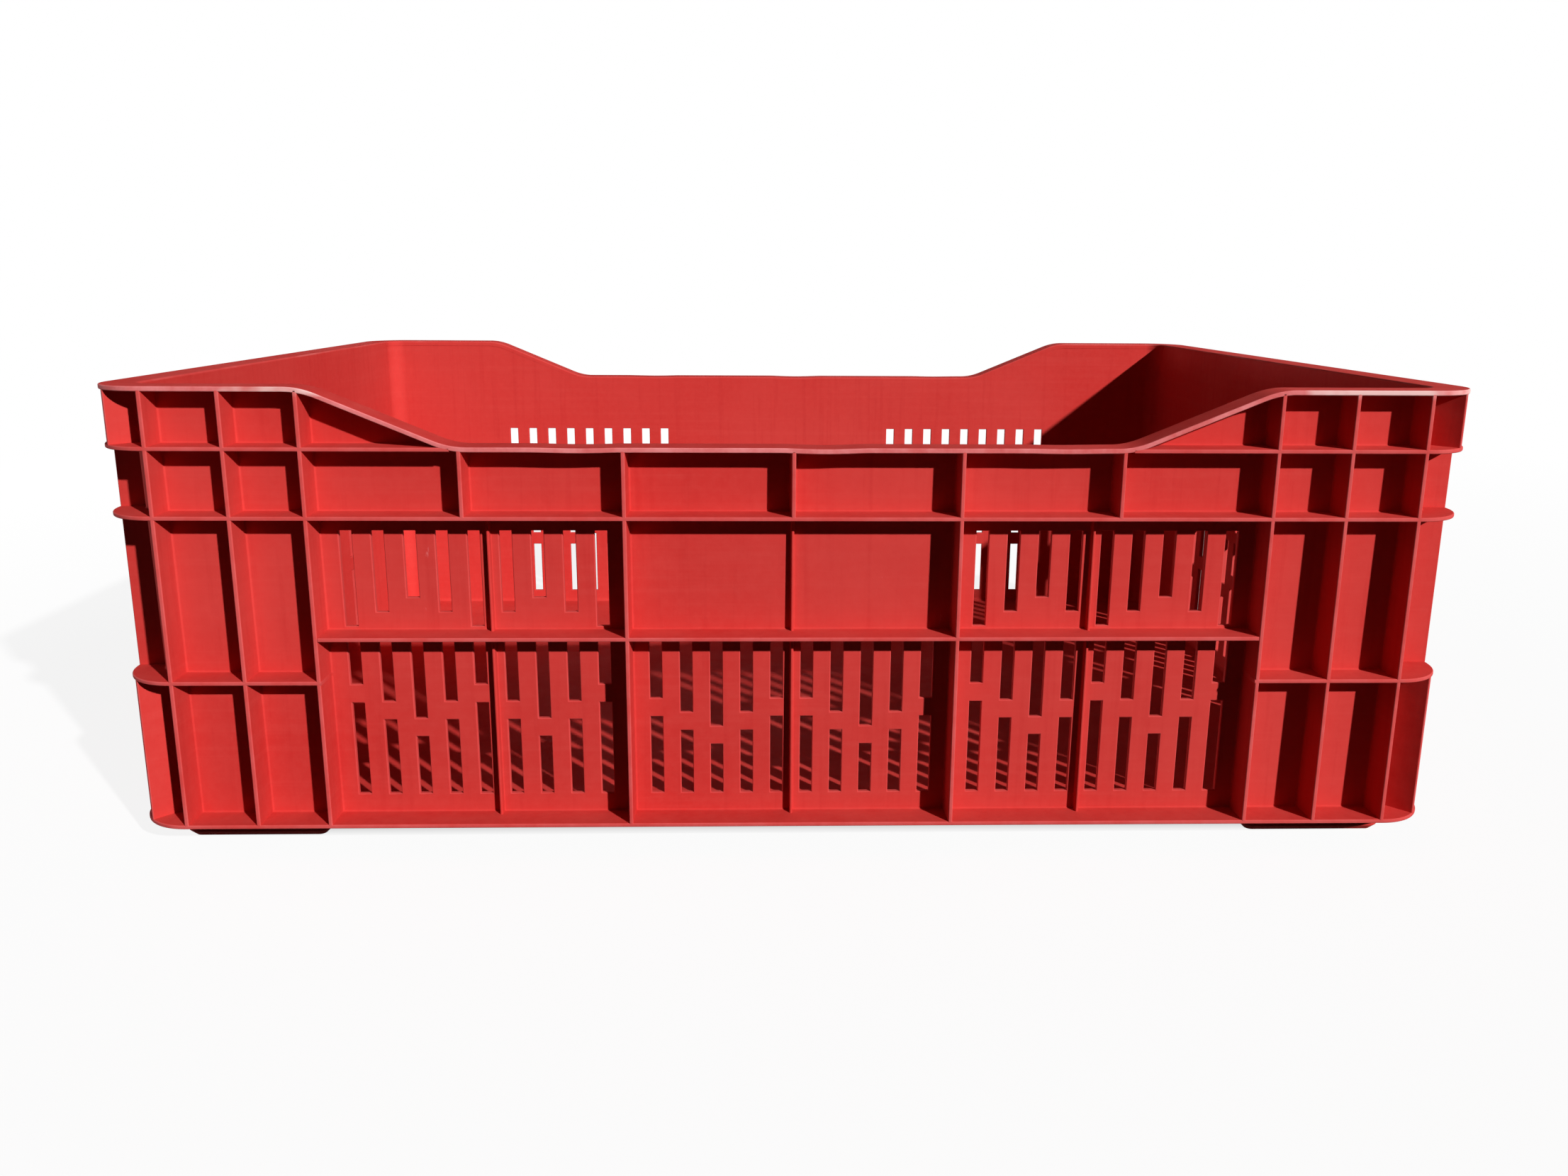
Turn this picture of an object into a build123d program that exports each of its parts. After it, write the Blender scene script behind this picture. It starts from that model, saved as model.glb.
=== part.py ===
from build123d import *
import os
from math import radians, tan

# Stackable fruit crate: a slotted tub with leaning walls inside a frame of ribs, belts and rims.
# The real crate is one moulding, and each named region of that moulding is a node of its own here.
# Millimetres. X runs along the length, Y across, +Z up. The origin is on the ground, under the centre.
# Front is -Y, back is +Y, left is -X and right is +X.

# Overall size
LENGTH = 600.0
WIDTH = 400.0
HEIGHT = 212.0

# Plastic thicknesses
WALL = 2.5
RIB = 2.2
FLOOR = 2.5

# Tub: how far its wall stands behind the rib edges at the rim, its inner corner and its lean
RECESS = 12.5
INNER_RADIUS = 10.0
DRAFT_DEGREES = 0.43

# Rim: the long sides dip between raised corners, with a straight slope at each end of the dip
DIP_DEPTH = 25.3
SHOULDER_LENGTH = 92.5
SLOPE_LENGTH = 61.0

# Levels of the horizontal ribs: the belt below the dip, the others above the underside of the base
BELT_DROP = 29.9
MID_RIB_RISE = 90.6
COLUMN_RIB_RISE = 70.6

# Upright ribs: three in each corner column and one on its corner, posts beside each centre panel,
# small ones between
COLUMN_PITCH = 32.3
CORNER_RIB_DEGREES = 45.0
SIDE_CENTRE_PANEL = 146.2
END_CENTRE_PANEL = 110.0
STIFFENER_SHIFT = 1.4
HALF_RIB_THICKNESS = 1.6
HALF_RIB_DEPTH = 2.6

# Ventilation slots, with a bar across each low one that steps down and up from slot to slot
SLOT_WIDTH = 5.6
SLOT_PITCH = 14.05
CENTRE_SLOT_PITCH = 13.75
SLOT_EDGE = 5.0
SLOT_HEAD = 3.4
UPPER_SLOT_HEAD = 6.6
SLOT_SILL = 8.8
BAR_HEIGHT = 8.8
BAR_LEVEL = 60.0
BAR_STEP_HEIGHT = 8.2
CENTRE_BAR_LEVEL = 53.0
CENTRE_BAR_STEP_HEIGHT = 6.8
UPPER_SILL = 1.4
UPPER_SILL_STEP_HEIGHT = 6.7

# Hand hole in each end, inside the frame of belt, ledge and posts
HAND_HOLE_MARGIN = 1.2
HAND_HOLE_RADIUS = 9.0

# Ribs under the closed floor: their pitches along and across the crate, their depth,
# and how far their ends keep from the edge and the feet
FLOOR_RIB_PITCHES = (37.6, 48.8)
FLOOR_RIB_DEPTH = 5.0
FLOOR_EDGE = 12.0
FOOT_GAP = 3.0

# Corner feet, which drop inside the rim of a crate below
FOOT_HEIGHT = 12.0
FOOT_REACH = 67.0
FOOT_WIDTH = 22.0
FOOT_RADIUS = 6.0
FOOT_CHAMFER = 3.0
STACK_CLEARANCE = 1.5

# Derived plan positions
END = LENGTH / 2
SIDE = WIDTH / 2
CORNER_RADIUS = INNER_RADIUS + WALL + RECESS
CORNER_X = END - CORNER_RADIUS
CORNER_Y = SIDE - CORNER_RADIUS
SLOPE_TOP_X = END - SHOULDER_LENGTH
SLOPE_FOOT_X = SLOPE_TOP_X - SLOPE_LENGTH
SIDE_COLUMN_X = [CORNER_X - RIB / 2 - step * COLUMN_PITCH for step in range(3)]
END_COLUMN_Y = [CORNER_Y - RIB / 2 - step * COLUMN_PITCH for step in range(3)]
COLUMN_FACE_X = SIDE_COLUMN_X[-1] - RIB / 2
COLUMN_FACE_Y = END_COLUMN_Y[-1] - RIB / 2
SIDE_POST_X = SIDE_CENTRE_PANEL / 2
END_POST_Y = END_CENTRE_PANEL / 2

# Derived levels, each rib as (underside, top)
BASE = (FOOT_HEIGHT, FOOT_HEIGHT + RIB)
COLUMN_RIB = (FOOT_HEIGHT + COLUMN_RIB_RISE - RIB, FOOT_HEIGHT + COLUMN_RIB_RISE)
MID_RIB = (FOOT_HEIGHT + MID_RIB_RISE - RIB, FOOT_HEIGHT + MID_RIB_RISE)
LEDGE = (HEIGHT - DIP_DEPTH - RIB, HEIGHT - DIP_DEPTH)
BELT = (LEDGE[1] - BELT_DROP - RIB, LEDGE[1] - BELT_DROP)
RIM = (HEIGHT - RIB, HEIGHT)

# Bays between the level ribs, which the upright ribs fill
RIM_BAY = (LEDGE[1], RIM[0])
GROUND_BAY = (BASE[1], COLUMN_RIB[0])
COLUMN_BAYS = [GROUND_BAY, (COLUMN_RIB[1], BELT[0]), (BELT[1], LEDGE[0]), RIM_BAY]
POST_BAYS = [(BASE[1], MID_RIB[0]), (MID_RIB[1], BELT[0]), (BELT[1], LEDGE[0])]


def block(x, y, z):
    """Box between pairs of coordinates."""
    spans = (x, y, z)
    middle = [(low + high) / 2 for low, high in spans]
    return Pos(*middle) * Box(*[high - low for low, high in spans])


def patch(across, up):
    """Rectangle between pairs of coordinates in a drawing plane."""
    middle = [(low + high) / 2 for low, high in (across, up)]
    return Pos(*middle) * Rectangle(across[1] - across[0], up[1] - up[0])


def outline(inset):
    """Plan of the crate drawn in by inset, with concentric corners."""
    return RectangleRounded(LENGTH - 2 * inset, WIDTH - 2 * inset, CORNER_RADIUS - inset)


def prism(inset, z):
    """Upright prism of the plan between two levels."""
    return Pos(0, 0, z[0]) * extrude(outline(inset), z[1] - z[0])


def leaning_prism(inset):
    """Solid inset from the plan at the rim, whose sides lean in by the draft on the way down."""
    sections = []
    for z in (0, HEIGHT + FOOT_HEIGHT):
        lean = (HEIGHT - z) * tan(radians(DRAFT_DEGREES))
        sections.append(Pos(0, 0, z) * outline(inset + lean))
    return loft(sections, ruled=True)


def through_side(drawing):
    """Carry a drawing on X and Z through the back half of the crate."""
    return extrude(Plane.XZ * drawing, -SIDE)


def through_end(drawing):
    """Carry a drawing on Y and Z through the right half of the crate."""
    return extrude(Plane.YZ * drawing, END)


TUB_OUTSIDE = leaning_prism(RECESS)
TUB_INSIDE = leaning_prism(RECESS + WALL)
TUB = TUB_OUTSIDE - TUB_INSIDE


def side_rib(x, thickness, depth, z):
    """Upright rib on the back wall, standing out to the given depth from the tub."""
    rib = block((x - thickness / 2, x + thickness / 2), (CORNER_Y, SIDE - RECESS + depth), z)
    return rib - TUB_OUTSIDE


def end_rib(y, z):
    """Upright rib on the right end, from the tub to the rib edges."""
    rib = block((CORNER_X, END), (y - RIB / 2, y + RIB / 2), z)
    return rib - TUB_OUTSIDE


def corner_rib(z):
    """Upright rib on the rounded back right corner of the tub, standing out to the rib edges."""
    radial = block((0, 2 * CORNER_RADIUS), (-RIB / 2, RIB / 2), z)
    rib = Pos(CORNER_X, CORNER_Y) * Rot(0, 0, CORNER_RIB_DEGREES) * radial
    return (rib & prism(0, z)) - TUB_OUTSIDE


def side_strip(x, z):
    """Level rib along the back, from the tub to the rib edges."""
    return block(x, (CORNER_Y, SIDE), z) - TUB_OUTSIDE


def end_strip(y, z):
    """Level rib along the right end, from the tub to the rib edges."""
    return block((CORNER_X, END), y, z) - TUB_OUTSIDE


def corner_arc(z):
    """Level rib round the back right corner."""
    return (prism(0, z) - TUB_OUTSIDE) & block((CORNER_X, END), (CORNER_Y, SIDE), z)


def slot_centres(middle, clear, pitch):
    """Centres of as many slots as the clear width holds, with the step number of each slot's bar."""
    count = int((clear - SLOT_WIDTH - 2 * SLOT_EDGE) // pitch) + 1
    first = middle - (count - 1) * pitch / 2
    return [(first + k * pitch, 2 - abs(2 - k % 4)) for k in range(count)]


def slot(centre, z):
    """One slot in a wall's drawing."""
    return patch((centre - SLOT_WIDTH / 2, centre + SLOT_WIDTH / 2), z)


def low_slots(centres, bar_level, bar_step):
    """Slots between the base and the middle rib, each parted by its bar."""
    cuts = []
    for centre, step in centres:
        bar_middle = FOOT_HEIGHT + bar_level - step * bar_step
        cuts.append(slot(centre, (BASE[1] + SLOT_SILL, bar_middle - BAR_HEIGHT / 2)))
        cuts.append(slot(centre, (bar_middle + BAR_HEIGHT / 2, MID_RIB[0] - SLOT_HEAD)))
    return cuts


def high_slots(centres):
    """Slots between the middle rib and the belt, with stepped lower ends."""
    cuts = []
    for centre, step in centres:
        sill = MID_RIB[1] + UPPER_SILL + step * UPPER_SILL_STEP_HEIGHT
        cuts.append(slot(centre, (sill, BELT[0] - UPPER_SLOT_HEAD)))
    return cuts


def side_wall():
    """Back wall of the tub up to the dip: slotted side panels and a centre panel left plain above."""
    panel_middle = (COLUMN_FACE_X + SIDE_POST_X + RIB / 2) / 2
    panel_clear = COLUMN_FACE_X - SIDE_POST_X - RIB / 2
    half_clear = SIDE_POST_X - RIB / 2 - HALF_RIB_THICKNESS / 2
    half_count = len(slot_centres(0, half_clear, CENTRE_SLOT_PITCH))
    cuts = []
    for hand in (-1, 1):
        panel = slot_centres(hand * panel_middle, panel_clear, SLOT_PITCH)
        half = slot_centres(hand * half_count * CENTRE_SLOT_PITCH / 2, half_clear, CENTRE_SLOT_PITCH)
        cuts += low_slots(panel, BAR_LEVEL, BAR_STEP_HEIGHT) + high_slots(panel)
        cuts += low_slots(half, CENTRE_BAR_LEVEL, CENTRE_BAR_STEP_HEIGHT)
    drawing = patch((-CORNER_X, CORNER_X), (FOOT_HEIGHT, LEDGE[0])) - cuts
    return TUB & through_side(drawing)


def end_wall():
    """Right end of the tub up to the belt, with slots between its upright ribs."""
    panel_middle = (COLUMN_FACE_Y + END_POST_Y + RIB / 2) / 2
    panel_clear = COLUMN_FACE_Y - END_POST_Y - RIB / 2
    panels = slot_centres(0, END_CENTRE_PANEL - RIB, SLOT_PITCH)
    for hand in (-1, 1):
        panels += slot_centres(hand * panel_middle, panel_clear, SLOT_PITCH)
    cuts = low_slots(panels, BAR_LEVEL, BAR_STEP_HEIGHT) + high_slots(panels)
    drawing = patch((-CORNER_Y, CORNER_Y), (FOOT_HEIGHT, BELT[1])) - cuts
    return TUB & through_end(drawing)


def grip_wall():
    """Right end of the tub above the belt: strips over and under the hand hole, and the wall beside it."""
    across = END_POST_Y - RIB / 2 - HAND_HOLE_MARGIN
    up = (BELT[1] + HAND_HOLE_MARGIN, LEDGE[0] - HAND_HOLE_MARGIN)
    hole = fillet(patch((-across, across), up).vertices(), HAND_HOLE_RADIUS)
    wall = TUB & through_end(patch((-CORNER_Y, CORNER_Y), (BELT[1], RIM[0])) - hole)
    straight = across - HAND_HOLE_RADIUS
    middle = block((CORNER_X, END), (-straight, straight), (BELT[1], RIM[0]))
    return [wall & middle, wall - middle]


def slope_drawing():
    """Slope of the rim on X and Z, cut level where it lands on the ledge."""
    run_per_rise = SLOPE_LENGTH / DIP_DEPTH
    corners = [
        (SLOPE_TOP_X, RIM[1]),
        (SLOPE_FOOT_X, LEDGE[1]),
        (SLOPE_FOOT_X + RIB * run_per_rise, LEDGE[1]),
        (SLOPE_TOP_X, RIM[0]),
    ]
    return make_face(Polyline(*corners, close=True))


def shoulder():
    """Raised part of the back wall beside the right corner, under the rim and its slope."""
    drawing = patch((SLOPE_FOOT_X, CORNER_X), (LEDGE[0], RIM[0]))
    above_slope = make_face(
        Polyline(
            (SLOPE_FOOT_X, LEDGE[1]),
            (SLOPE_FOOT_X + RIB * SLOPE_LENGTH / DIP_DEPTH, LEDGE[1]),
            (SLOPE_TOP_X, RIM[0]),
            (SLOPE_FOOT_X, RIM[0]),
            close=True,
        )
    )
    return TUB & through_side(drawing - above_slope)


def corner_wall():
    """Rounded back right corner of the tub."""
    return TUB & block((CORNER_X, END), (CORNER_Y, SIDE), (FOOT_HEIGHT, RIM[0]))


def corner_rim():
    """Raised rim of the back right corner, and the slope that leads down to the dip."""
    strip = block((SLOPE_TOP_X, CORNER_X), (CORNER_Y, SIDE), RIM) - TUB_INSIDE
    arc = (prism(0, RIM) - TUB_INSIDE) & block((CORNER_X, END), (CORNER_Y, SIDE), RIM)
    slope = (through_side(slope_drawing()) & block((0, END), (CORNER_Y, SIDE), (0, HEIGHT))) - TUB_INSIDE
    return [strip, arc, slope]


def low_rim():
    """Rim along the bottom of the back dip, on top of the wall."""
    return block((-SLOPE_FOOT_X, SLOPE_FOOT_X), (CORNER_Y, SIDE), LEDGE) - TUB_INSIDE


def grip_rim():
    """Rim of the right end: its top, and the ledge over the hand hole."""
    top = block((CORNER_X, END), (-CORNER_Y, CORNER_Y), RIM) - TUB_INSIDE
    ledge = end_strip((-CORNER_Y, CORNER_Y), LEDGE)
    return [top, ledge]


def corner_hoops():
    """Level ribs round the back right corner, and the corner's upright ribs near the rim and the ground."""
    return [
        side_strip((SLOPE_FOOT_X, CORNER_X), LEDGE),
        corner_arc(LEDGE),
        corner_arc(BELT),
        side_strip((COLUMN_FACE_X, CORNER_X), COLUMN_RIB),
        corner_arc(COLUMN_RIB),
        end_strip((COLUMN_FACE_Y, CORNER_Y), COLUMN_RIB),
        corner_arc(BASE),
        corner_rib(RIM_BAY),
        corner_rib(GROUND_BAY),
    ]


def side_column_ribs():
    """Upright ribs of the back right column on the long side, in bays between the level ribs."""
    return [side_rib(x, RIB, RECESS, bay) for x in SIDE_COLUMN_X for bay in COLUMN_BAYS]


def end_column_ribs():
    """Upright ribs of the back right column on the end, in the same bays."""
    return [end_rib(y, bay) for y in END_COLUMN_Y for bay in COLUMN_BAYS]


def side_posts():
    """Upright posts either side of the back's centre panel, up to the rim of the dip."""
    return [side_rib(hand * SIDE_POST_X, RIB, RECESS, bay) for hand in (-1, 1) for bay in POST_BAYS]


def end_posts():
    """Upright posts either side of the right hand hole and the panel under it, up to the end's rim."""
    return [end_rib(hand * END_POST_Y, bay) for hand in (-1, 1) for bay in POST_BAYS + [RIM_BAY]]


def side_stiffeners():
    """Short upright ribs between the back's belt and the rim of the dip."""
    panel_middle = (SIDE_COLUMN_X[-1] + SIDE_POST_X) / 2 + STIFFENER_SHIFT
    return [side_rib(x, RIB, RECESS, (BELT[1], LEDGE[0])) for x in (-panel_middle, 0, panel_middle)]


def half_ribs():
    """Thin shallow upright ribs on the back, beside the middle slot of each side panel and at the centre."""
    panel_middle = (COLUMN_FACE_X + SIDE_POST_X + RIB / 2) / 2
    beside_slot = panel_middle - SLOT_PITCH / 2
    bays = [(BASE[1], MID_RIB[0]), (MID_RIB[1], BELT[0])]
    places = (-beside_slot, 0, beside_slot)
    return [side_rib(x, HALF_RIB_THICKNESS, HALF_RIB_DEPTH, bay) for x in places for bay in bays]


def foot_plan():
    """L-shaped plan of the back right foot, just inside the opening of the rim."""
    x = END - RECESS - WALL - STACK_CLEARANCE
    y = SIDE - RECESS - WALL - STACK_CLEARANCE
    along_side = patch((x - FOOT_REACH, x), (y - FOOT_WIDTH, y))
    along_end = patch((x - FOOT_WIDTH, x), (y - FOOT_REACH, y))
    plan = along_side + along_end
    return fillet(plan.vertices(), FOOT_RADIUS)


def foot():
    """Back right foot, chamfered where it enters the crate below."""
    solid = extrude(foot_plan(), FOOT_HEIGHT)
    return chamfer(solid.faces().sort_by(Axis.Z)[0].edges(), FOOT_CHAMFER)


def centred(reach, pitch):
    """Evenly spaced places about the middle, for as many ribs as stand within the reach on both sides."""
    count = int((2 * reach - RIB) // pitch) + 1
    return [(place - (count - 1) / 2) * pitch for place in range(count)]


def floor():
    """Closed floor inside the tub, and a lattice of ribs under it between the feet."""
    foot_x = END - RECESS - WALL - STACK_CLEARANCE
    foot_y = SIDE - RECESS - WALL - STACK_CLEARANCE
    half_x, half_y = foot_x - FLOOR_EDGE, foot_y - FLOOR_EDGE
    clear_x, clear_y = foot_x - FOOT_REACH - FOOT_GAP, foot_y - FOOT_REACH - FOOT_GAP
    along, across = [centred(reach, pitch) for reach, pitch in zip((foot_x, foot_y), FLOOR_RIB_PITCHES)]
    bars = [patch((-half_x, half_x), (y - RIB / 2, y + RIB / 2)) for y in across]
    bars += [patch((x - RIB / 2, x + RIB / 2), (-half_y, half_y)) for x in along]
    clear_of_feet = Rectangle(2 * clear_x, WIDTH) + Rectangle(LENGTH, 2 * clear_y)
    lattice = (Sketch() + bars) & clear_of_feet
    ribs = Pos(0, 0, FOOT_HEIGHT - FLOOR_RIB_DEPTH) * extrude(lattice, FLOOR_RIB_DEPTH)
    plate = prism(0, (FOOT_HEIGHT, FOOT_HEIGHT + FLOOR)) & TUB_INSIDE
    return plate + ribs


def write(node, shapes):
    """Write one node's solids."""
    pieces = shapes if isinstance(shapes, list) else [shapes]
    solids = [solid for piece in pieces for solid in piece.solids()]
    export_step(Compound(solids), f"parts/{node}.step")


def write_corners(name, pieces):
    """Write a back right corner piece and its mirror images at the other corners."""
    pieces = pieces if isinstance(pieces, list) else [pieces]
    front = [mirror(piece, Plane.XZ) for piece in pieces]
    write(f"back_right_{name}", pieces)
    write(f"front_right_{name}", front)
    write(f"back_left_{name}", [mirror(piece, Plane.YZ) for piece in pieces])
    write(f"front_left_{name}", [mirror(piece, Plane.YZ) for piece in front])


def write_sides(name, pieces):
    """Write a piece of the back and its mirror image on the front."""
    pieces = pieces if isinstance(pieces, list) else [pieces]
    write(f"back_{name}", pieces)
    write(f"front_{name}", [mirror(piece, Plane.XZ) for piece in pieces])


def write_ends(name, pieces):
    """Write a piece of the right end and its mirror image on the left."""
    pieces = pieces if isinstance(pieces, list) else [pieces]
    write(f"right_{name}", pieces)
    write(f"left_{name}", [mirror(piece, Plane.YZ) for piece in pieces])


os.makedirs("parts", exist_ok=True)

# Tub
write_sides("wall", side_wall())
write_ends("end_wall", end_wall())
write_ends("grip_wall", grip_wall())
write_corners("corner_wall", corner_wall())
write_corners("shoulder", shoulder())
write("floor", floor())
write_corners("foot", foot())

# Rims
write_corners("corner_rim", corner_rim())
write_sides("low_rim", low_rim())
write_ends("grip_rim", grip_rim())

# Level ribs
write_sides("belt", side_strip((-CORNER_X, CORNER_X), BELT))
write_ends("end_belt", end_strip((-CORNER_Y, CORNER_Y), BELT))
write_sides("mid_rib", side_strip((-COLUMN_FACE_X, COLUMN_FACE_X), MID_RIB))
write_ends("end_mid_rib", end_strip((-COLUMN_FACE_Y, COLUMN_FACE_Y), MID_RIB))
write_sides("base_flange", side_strip((-CORNER_X, CORNER_X), BASE))
write_ends("end_base_flange", end_strip((-CORNER_Y, CORNER_Y), BASE))
write_corners("corner_hoops", corner_hoops())

# Upright ribs
write_corners("side_column_ribs", side_column_ribs())
write_corners("end_column_ribs", end_column_ribs())
write_sides("posts", side_posts())
write_ends("end_posts", end_posts())
write_sides("stiffeners", side_stiffeners())
write_sides("half_ribs", half_ribs())
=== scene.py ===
from math import cos, radians, sin

import bmesh
import bpy
import numpy as np
from bpy.props import FloatProperty, FloatVectorProperty, PointerProperty
from mathutils import Matrix, Vector


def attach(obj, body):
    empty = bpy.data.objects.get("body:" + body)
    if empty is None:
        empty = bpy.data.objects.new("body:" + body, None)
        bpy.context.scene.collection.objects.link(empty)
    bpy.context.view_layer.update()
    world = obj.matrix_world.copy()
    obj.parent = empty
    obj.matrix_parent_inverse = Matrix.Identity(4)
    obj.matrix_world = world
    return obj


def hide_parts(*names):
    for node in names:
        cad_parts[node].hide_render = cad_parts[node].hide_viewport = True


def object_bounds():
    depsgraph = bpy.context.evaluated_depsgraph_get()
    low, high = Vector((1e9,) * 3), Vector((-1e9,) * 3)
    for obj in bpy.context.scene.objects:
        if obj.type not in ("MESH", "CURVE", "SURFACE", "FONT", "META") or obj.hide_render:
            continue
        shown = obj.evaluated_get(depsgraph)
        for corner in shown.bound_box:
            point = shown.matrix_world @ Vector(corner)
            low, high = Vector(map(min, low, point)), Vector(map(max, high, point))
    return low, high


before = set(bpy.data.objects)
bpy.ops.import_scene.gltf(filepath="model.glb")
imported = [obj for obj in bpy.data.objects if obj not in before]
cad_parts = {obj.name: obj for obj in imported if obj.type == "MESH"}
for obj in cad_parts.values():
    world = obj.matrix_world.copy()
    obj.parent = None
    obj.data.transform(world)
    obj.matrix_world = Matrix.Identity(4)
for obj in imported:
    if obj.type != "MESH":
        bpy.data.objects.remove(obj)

bl_info = {
    "name": "Fruit crate",
    "version": (1, 0, 0),
    "blender": (4, 5, 0),
    "location": "View3D > Sidebar > Fruit crate",
    "description": "Rounded, filleted skin and moulded plastic finish for a ventilated stacking crate",
    "category": "Object",
}

CAD_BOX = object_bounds()
BODY = "root"
# Signs along x and y that mirror a piece made at the back right
CORNERS = {"back_right": (1, 1), "front_right": (1, -1), "back_left": (-1, 1), "front_left": (-1, -1)}
SIDES = {"back": (1, 1), "front": (1, -1)}
ENDS = {"right": (1, 1), "left": (-1, 1)}

# Steps of a small arc, of a corner of the crate and of a bend in the rim, and points along the dip
ARC_STEPS = 4
CORNER_STEPS = 20
BEND_STEPS = 8
DIP_POINTS = 97
# Waves of the dipped rim: radians to the metre, and the angle in the middle
DIP_WAVES = ((88.0, 0.4), (31.0, 1.1))
# How far a skin reaches into its neighbour
BURY = 0.001
# Largest fillet as a share of a rib's reach, and largest rounding as a share of its tip's half thickness
FILLET_SHARE = 0.1
TIP_SHARE = 0.9
# Angle above which an edge of a skin stays sharp, and how the edges of floor and feet are rounded
SMOOTH_DEGREES = 42.0
BEVEL_DEGREES = 30.0
BEVEL_STEPS = 2
# Places of a metre that measured coordinates are rounded to, and a distance that counts as none
DECIMALS = 6
NEAR = 0.00001


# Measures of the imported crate

def corners_of(node):
    """Corner points of a CAD node as an array of rows x, y, z in metres."""
    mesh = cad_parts[node].data
    flat = np.empty(len(mesh.vertices) * 3, np.float32)
    mesh.vertices.foreach_get("co", flat)
    return flat.reshape(-1, 3).astype(float)


def stations(node, axis):
    """Distinct coordinates of a CAD node's corners along one axis, in rising order."""
    return np.unique(np.round(corners_of(node)[:, axis], DECIMALS))


def level(node):
    """Underside and top of a level CAD rib."""
    heights = stations(node, 2)
    return heights[0], heights[-1]


def openings_of(node, axis):
    """Slots of a CAD wall as rows low, high along the axis, then bottom, top.

    Slots stand side by side, so the distinct coordinates inside the wall pair up as slot edges, and the
    heights of the corners on one slot edge pair up as the bottoms and tops of the openings along it."""
    points = np.round(corners_of(node), DECIMALS)
    edges = np.unique(points[:, axis])[1:-1].reshape(-1, 2)
    rows = []
    for low, high in edges:
        heights = np.unique(points[points[:, axis] == low, 2]).reshape(-1, 2)
        rows.append(np.column_stack([np.full(len(heights), low), np.full(len(heights), high), heights]))
    return np.concatenate(rows)


END, SIDE, TOP = CAD_BOX[1]
CORNER_X = stations("back_belt", 0)[-1]
CORNER_Y = stations("right_end_belt", 1)[-1]
CORNER_RADIUS = END - CORNER_X
BASE = level("back_base_flange")
MID_RIB = level("back_mid_rib")
BELT = level("back_belt")
LEDGE = level("back_low_rim")
RIB = BELT[1] - BELT[0]
RIM = (TOP - RIB, TOP)
DIP = RIM[1] - LEDGE[1]
SIDE_BAYS = stations("back_right_side_column_ribs", 2).reshape(-1, 2)
POST_BAYS = stations("back_posts", 2).reshape(-1, 2)
COLUMN_RIB = (SIDE_BAYS[0, 1], SIDE_BAYS[1, 0])
SLOPE_FOOT, _, SLOPE_TOP = stations("back_right_shoulder", 0)[:3]
COLUMN_FACE_X = stations("back_mid_rib", 0)[-1]
COLUMN_FACE_Y = stations("right_end_mid_rib", 1)[-1]
FLOOR_TOP = level("floor")[1]
HOOP_POINTS = corners_of("back_right_corner_hoops")
CORNER_RIB_HEAD = HOOP_POINTS[HOOP_POINTS[:, 2] > RIM[0] - NEAR, :2].mean(axis=0) - [CORNER_X, CORNER_Y]
CORNER_RIB_DEGREES = np.degrees(np.arctan2(CORNER_RIB_HEAD[1], CORNER_RIB_HEAD[0]))

WALL_POINTS = np.round(corners_of("back_wall"), DECIMALS)
WALL_FOOT = np.unique(WALL_POINTS[WALL_POINTS[:, 2] < BASE[0] + NEAR, 1])
WALL_HEAD = np.unique(WALL_POINTS[WALL_POINTS[:, 2] > LEDGE[0] - NEAR, 1])
WALL = WALL_FOOT[1] - WALL_FOOT[0]
WALL_LEAN = (WALL_HEAD[1] - WALL_FOOT[1]) / (LEDGE[0] - BASE[0])


def inset(height):
    """How far the tub's leaning outer face stands behind the rib tips at a height."""
    return SIDE - WALL_FOOT[1] - (height - BASE[0]) * WALL_LEAN


def sizes():
    """The sizes set in the sidebar."""
    return bpy.context.scene.crate_sizes


# Surfaces as arrays of points

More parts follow.
